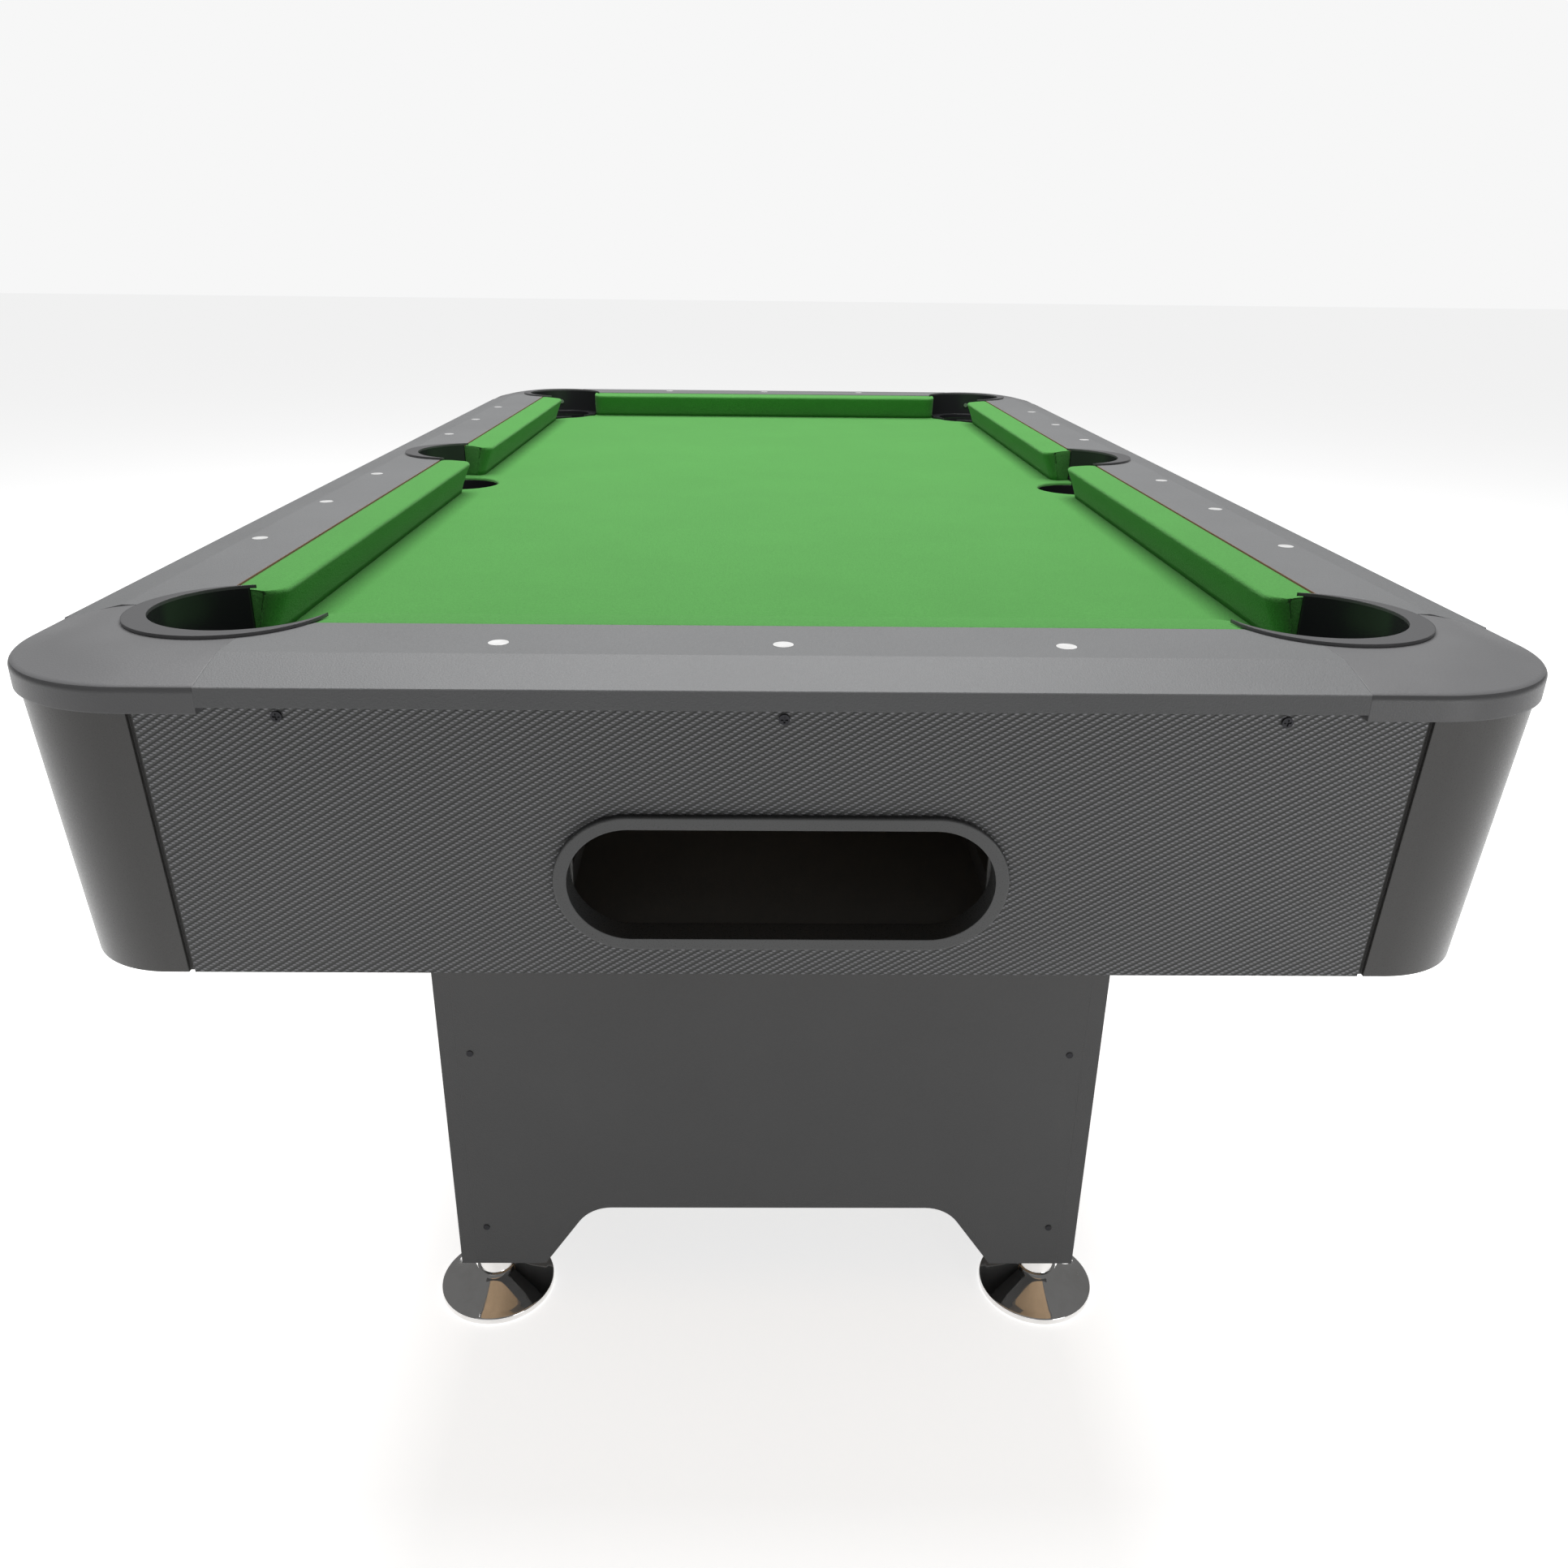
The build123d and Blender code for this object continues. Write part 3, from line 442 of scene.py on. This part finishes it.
# --- Cushions ----------------------------------------------------------------------------
nose_radius = 3.0 * MM
shoulder_drop = 1.6 * MM        # the cloth tucks in this far below the rail at the joint
top_crown = 0.5 * MM
foot_setback = 12.0 * MM
nose_level = 4.6 * MM           # middle of the nose below the rail top
end_round = 2.2 * MM
corner_round = 17.0 * MM        # the nose turns back round this much at each end
mouth_flare = 0.25              # ends at a side pocket slant by this much per unit of depth
flare_reach = 60.0 * MM         # that slant fades out this far from the end
row_spacing = 20.0 * MM
wave_height = 0.3 * MM          # slight unevenness of the stretched cloth
waves_per_metre = 14.0
undercut_bulge = 0.8 * MM


def cushion_section(depth, height):
    """Section of a cushion: distance behind the nose, then height above its foot."""
    middle = (nose_radius, height - nose_level)
    top_of_nose = arc_points(middle, nose_radius, 80, 205, 9)
    section = [(depth, 0.0), (depth, height - shoulder_drop)]
    section.append((depth - 0.7 * MM, height - shoulder_drop * 0.45))
    crown_steps = 8
    first = Vector((depth - 2.2 * MM, height - 0.25 * MM))
    last = Vector(top_of_nose[0])
    for i in range(crown_steps):
        share = i / crown_steps
        point = first.lerp(last, share)
        point.y += top_crown * math.sin(math.pi * share)
        section.append(tuple(point))
    section += top_of_nose
    foot = Vector((foot_setback, 0.0))
    start = Vector(top_of_nose[-1])
    undercut_steps = 6
    for i in range(1, undercut_steps):
        share = i / undercut_steps
        point = start.lerp(foot, share)
        point.x += undercut_bulge * math.sin(math.pi * share)
        section.append(tuple(point))
    section.append(tuple(foot))
    return section


def make_cushion(node_name, across, mouth_end):
    """A cloth-covered cushion in the place of its CAD solid.

    across is the axis that runs over the cushion. mouth_end is the sign of the end that faces a
    side pocket, or 0 on the short rails.
    """
    low, high = (Vector(corner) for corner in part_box(node_name))
    along = 1 - across
    sign = 1.0 if low[across] + high[across] > 0 else -1.0
    nose = min(abs(low[across]), abs(high[across]))
    depth = max(abs(low[across]), abs(high[across])) - nose
    section = cushion_section(depth, high.z - low.z)
    centre = Vector((depth * 0.5, (high.z - low.z) * 0.5))
    start, end = low[along], high[along]
    count = max(12, int((end - start) / row_spacing))

    def row(place, inset):
        """One section of the cushion, pulled in by inset, and set back near the ends."""
        from_end = min(place - start, end - place)
        setback = 0.0
        if from_end < corner_round:
            setback = corner_round - math.sqrt(corner_round ** 2 - (corner_round - from_end) ** 2)
        points = []
        for x, z in section:
            kept_share = 1 - setback / depth
            x_here = depth - (depth - x) * kept_share
            toward = Vector((x_here, z)) - centre
            pulled = centre + toward * (1 - inset / toward.length)
            position = place
            near_mouth = mouth_end and (place > (start + end) / 2) == (mouth_end > 0)
            if near_mouth:
                share = max(0.0, 1 - from_end / flare_reach)
                position = place - mouth_end * mouth_flare * pulled.x * share
            spot = [0.0, 0.0, low.z + pulled.y]
            spot[across] = sign * (nose + pulled.x)
            spot[along] = position
            if x < depth - 1 * MM:
                wave = noise.noise(Vector((spot[0], spot[1], 0.0)) * waves_per_metre) * wave_height
                spot[2] += wave * max(0.0, pulled.y / (high.z - low.z))
            points.append(spot)
        return points

    turns = [corner_round * (1 - math.cos(math.radians(a))) for a in (8, 18, 30, 42, 55, 70, 85)]
    steps = [0.0, 0.35 * MM, 0.9 * MM] + turns
    insets = [end_round, end_round * 0.35, end_round * 0.1] + [0.0] * len(turns)
    ends_done = turns[-1]
    rows = [row(start + step, inset) for step, inset in zip(steps, insets)]
    for i in range(1, count):
        rows.append(row(start + ends_done + (end - start - 2 * ends_done) * i / count, 0.0))
    rows += [row(end - step, inset) for step, inset in reversed(list(zip(steps, insets)))]
    piece = new_piece(f"{node_name}_cloth", lambda shape: skin_rows(shape, rows),
                      finishes["cloth"])
    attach(piece, "table")
    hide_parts(node_name)


for end_name, mouth in {"front": 1, "rear": -1}.items():
    make_cushion(f"cushion_{end_name}", 1, 0)
    for side_name in ("left", "right"):
        make_cushion(f"cushion_{end_name}_{side_name}", 0, mouth)


# --- Bed cloth ---------------------------------------------------------------------------
pocket_hole = 50.5 * MM         # radius
corner_arc = 59.0 * MM
corner_points = 12
hole_points = 72


def pocket_middles():
    """Plan positions of the six drop tubes, from the lowest part of each liner."""
    middles = []
    for name, node in nodes.items():
        if not name.startswith("pocket_liner_"):
            continue
        floor = min(v.co.z for v in node.data.vertices)
        ring = [v.co for v in node.data.vertices if v.co.z < floor + 1 * MM]
        middles.append(
            (
                (min(p.x for p in ring) + max(p.x for p in ring)) / 2,
                (min(p.y for p in ring) + max(p.y for p in ring)) / 2,
            )
        )
    return middles


def cloth_outline(half_x, half_y, radius):
    """A rectangle with rounded corners."""
    points = []
    quarters = (
        ((half_x - radius, half_y - radius), 0),
        ((-half_x + radius, half_y - radius), 90),
        ((-half_x + radius, -half_y + radius), 180),
        ((half_x - radius, -half_y + radius), 270),
    )
    for middle, start in quarters:
        points += arc_points(middle, radius, start, start + 90, corner_points)
    return points


def filled_sheet(name, loops, level):
    """A flat mesh inside the first loop and outside the others."""
    curve = bpy.data.curves.new(name, "CURVE")
    curve.dimensions = "2D"
    curve.fill_mode = "BOTH"
    for loop in loops:
        spline = curve.splines.new("POLY")
        spline.points.add(len(loop) - 1)
        for point, (x, y) in zip(spline.points, loop):
            point.co = (x, y, 0.0, 1.0)
        spline.use_cyclic_u = True
    holder = bpy.data.objects.new(name, curve)
    bpy.context.scene.collection.objects.link(holder)
    bpy.context.view_layer.update()
    mesh = bpy.data.meshes.new_from_object(holder)
    bpy.data.objects.remove(holder)
    for vertex in mesh.vertices:
        vertex.co.z = level
    return mesh


def make_bed_cloth():
    """The bed cloth: flat on the board, and turned down round each pocket hole."""
    low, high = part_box("bed_cloth")
    lip = [(0.0, 0.0), (-1.4 * MM, -0.15 * MM), (-2.6 * MM, -0.9 * MM), (-3.3 * MM, -2.1 * MM),
           (-3.5 * MM, -3.6 * MM)]
    circles = []
    for middle in pocket_middles():
        circles.append((middle, circle_points(middle, pocket_hole, hole_points)))
    outline = cloth_outline(high[0], high[1], corner_arc)
    flat = filled_sheet("bed_cloth_plan", [outline] + [circle[1] for circle in circles], cloth_top)

    def fill(shape):
        shape.from_mesh(flat)
        for middle, ring in circles:
            rows = []
            for inward, down in lip:
                scale = (pocket_hole + inward) / pocket_hole
                rows.append(
                    [
                        (
                            middle[0] + (x - middle[0]) * scale,
                            middle[1] + (y - middle[1]) * scale,
                            cloth_top + down,
                        )
                        for x, y in ring
                    ]
                )
            skin_rows(shape, rows, closed_ends=False)
        bmesh.ops.remove_doubles(shape, verts=shape.verts, dist=0.01 * MM)

    piece = new_piece("bed_cloth_sheet", fill, finishes["cloth"])
    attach(piece, "table")
    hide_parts("bed_cloth")


make_bed_cloth()


# --- Levelling feet ----------------------------------------------------------------------
def lathe(shape, middle, profile, count=128):
    """Turn a profile of (radius, height) points about an upright axis, closed at both ends."""
    rows = []
    for radius, height in profile:
        rows.append([(x, y, height) for x, y in circle_points(middle, radius, count)])
    skin_rows(shape, rows)


def foot_profile(radius, top):
    """Disc with a rolled rim, swept cone, hub and collar, in metres from the floor."""
    rim_round = 2.2 * MM
    rim_top = 8.6 * MM
    rim_edge = radius - rim_round
    lower = arc_points((rim_edge, rim_round), rim_round, -90, 0, 6)
    upper = arc_points((rim_edge, rim_top - rim_round), rim_round, 0, 70, 6)
    cone = []
    cone_steps = 12
    cone_top_radius = 21.5 * MM
    cone_top = 29.0 * MM
    cone_sag = 1.0 * MM
    for i in range(1, cone_steps):
        share = i / cone_steps
        across = rim_edge - 0.6 * MM + (cone_top_radius - rim_edge) * share
        height = rim_top + (cone_top - rim_top) * share - cone_sag * math.sin(math.pi * share)
        cone.append((across, height))
    hub = arc_points((19.0 * MM, 28.6 * MM), 1.4 * MM, 20, 90, 5)
    collar = [
        (17.4 * MM, 30.0 * MM),
        (17.0 * MM, 30.6 * MM),
        (17.0 * MM, top - 0.9 * MM),
        (16.2 * MM, top),
    ]
    return [(8 * MM, 0.0)] + lower + upper + cone + hub + collar


def stud_profile(low, high):
    """A threaded stud, its thread stood in for by level ridges."""
    pitch = 1.75 * MM
    outer, root = 5.9 * MM, 5.2 * MM
    points = []
    height = low
    while height + pitch < high:
        points += [(root, height), (outer, height + pitch * 0.35), (outer, height + pitch * 0.55),
                   (root, height + pitch * 0.9)]
        height += pitch
    return points + [(root, high - 0.8 * MM), (4.4 * MM, high)]


def make_foot(node_name):
    """A chrome foot and its stud in the place of their CAD solid."""
    post_gap = 0.3 * MM
    stud_overlap = 1.0 * MM
    low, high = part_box(node_name)
    middle = ((low[0] + high[0]) / 2, (low[1] + high[1]) / 2)
    collar_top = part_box("pedestal_corner_posts")[0][2] - post_gap

    def fill(shape):
        lathe(shape, middle, foot_profile((high[0] - low[0]) / 2, collar_top))
        lathe(shape, middle, stud_profile(collar_top - stud_overlap, high[2]), 48)

    piece = new_piece(f"{node_name}_chrome", fill, finishes["chrome"])
    sharp = piece.modifiers.new("edge_split", "EDGE_SPLIT")
    sharp.split_angle = math.radians(38)
    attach(piece, node_name)
    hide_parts(node_name)


for name in list(nodes):
    if name.startswith("leveler_"):
        make_foot(name)


# --- Stage, light and camera -------------------------------------------------------------
def make_floor():
    """A plain pale floor, well past the table on every side."""
    reach = 40.0
    glow = 0.74                 # keeps the floor nearly white where the lights don't reach
    mesh = bpy.data.meshes.new("studio_floor")
    mesh.from_pydata(
        [(-reach, -reach, 0), (reach, -reach, 0), (reach, reach, 0), (-reach, reach, 0)],
        [],
        [(0, 1, 2, 3)],
    )
    floor = bpy.data.objects.new("studio_floor", mesh)
    bpy.context.scene.collection.objects.link(floor)
    finish = Finish("floor_paint", 0.7)
    finish.colour(finish.mix(finish.noise(0.5), (0.90, 0.90, 0.90, 1.0), (0.93, 0.93, 0.93, 1.0)))
    mesh.materials.append(finish.material)
    finish.surface.inputs["Emission Color"].default_value = (1.0, 1.0, 1.0, 1.0)
    finish.surface.inputs["Emission Strength"].default_value = glow


def add_area(name, place, target, size, power):
    """A soft rectangular light that points at a target."""
    light = bpy.data.lights.new(name, "AREA")
    light.shape = "RECTANGLE"
    light.size, light.size_y = size
    light.energy = power
    holder = bpy.data.objects.new(name, light)
    holder.location = place
    direction = Vector(target) - Vector(place)
    holder.rotation_euler = direction.to_track_quat("-Z", "Y").to_euler()
    bpy.context.scene.collection.objects.link(holder)


def make_world():
    """Near white behind the table, and a dimmer even light from all round."""
    light_strength = 0.15
    seen_strength = 0.93
    world = bpy.data.worlds.new("studio_world")
    world.use_nodes = True
    tree = world.node_tree
    background = tree.nodes["Background"]
    background.inputs["Color"].default_value = (1.0, 1.0, 1.0, 1.0)
    path = tree.nodes.new("ShaderNodeLightPath")
    strength = tree.nodes.new("ShaderNodeMapRange")
    strength.inputs["To Min"].default_value = light_strength
    strength.inputs["To Max"].default_value = seen_strength
    tree.links.new(path.outputs["Is Camera Ray"], strength.inputs["Value"])
    tree.links.new(strength.outputs[0], background.inputs["Strength"])
    bpy.context.scene.world = world


def make_camera():
    """The camera at the photograph's angle, with its slight pan and roll."""
    place = Vector((-0.0193, -1.6054, 1.0097))
    pan = 0.0134
    tilt = 0.3946
    roll = -0.0108
    forward = Vector((math.sin(pan) * math.cos(tilt), math.cos(pan) * math.cos(tilt), -math.sin(tilt)))
    right = Vector((math.cos(pan), -math.sin(pan), 0.0))
    down = forward.cross(right)
    rolled_right = right * math.cos(roll) + down * math.sin(roll)
    rolled_down = down * math.cos(roll) - right * math.sin(roll)
    turn = Matrix((rolled_right, -rolled_down, -forward)).transposed().to_4x4()
    data = bpy.data.cameras.new("camera")
    data.sensor_width = 36.0
    data.lens = 28.56
    data.shift_x = 0.0107
    data.clip_start = 0.05
    camera = bpy.data.objects.new("camera", data)
    camera.matrix_world = Matrix.Translation(place) @ turn
    bpy.context.scene.collection.objects.link(camera)
    bpy.context.scene.camera = camera


make_floor()
make_world()
make_camera()
add_area("overhead", place=(0.0, 0.6, 3.4), target=(0.0, 0.6, 0.0), size=(2.8, 3.6), power=165)
add_area("front_fill", place=(-1.2, -4.0, 1.6), target=(0.0, -0.9, 0.5), size=(2.4, 1.8), power=3)
add_area("right_sheen", place=(2.1, -3.1, 0.5), target=(0.3, -0.9, 0.66), size=(1.2, 1.0), power=12)
bpy.context.scene.view_settings.view_transform = "Standard"
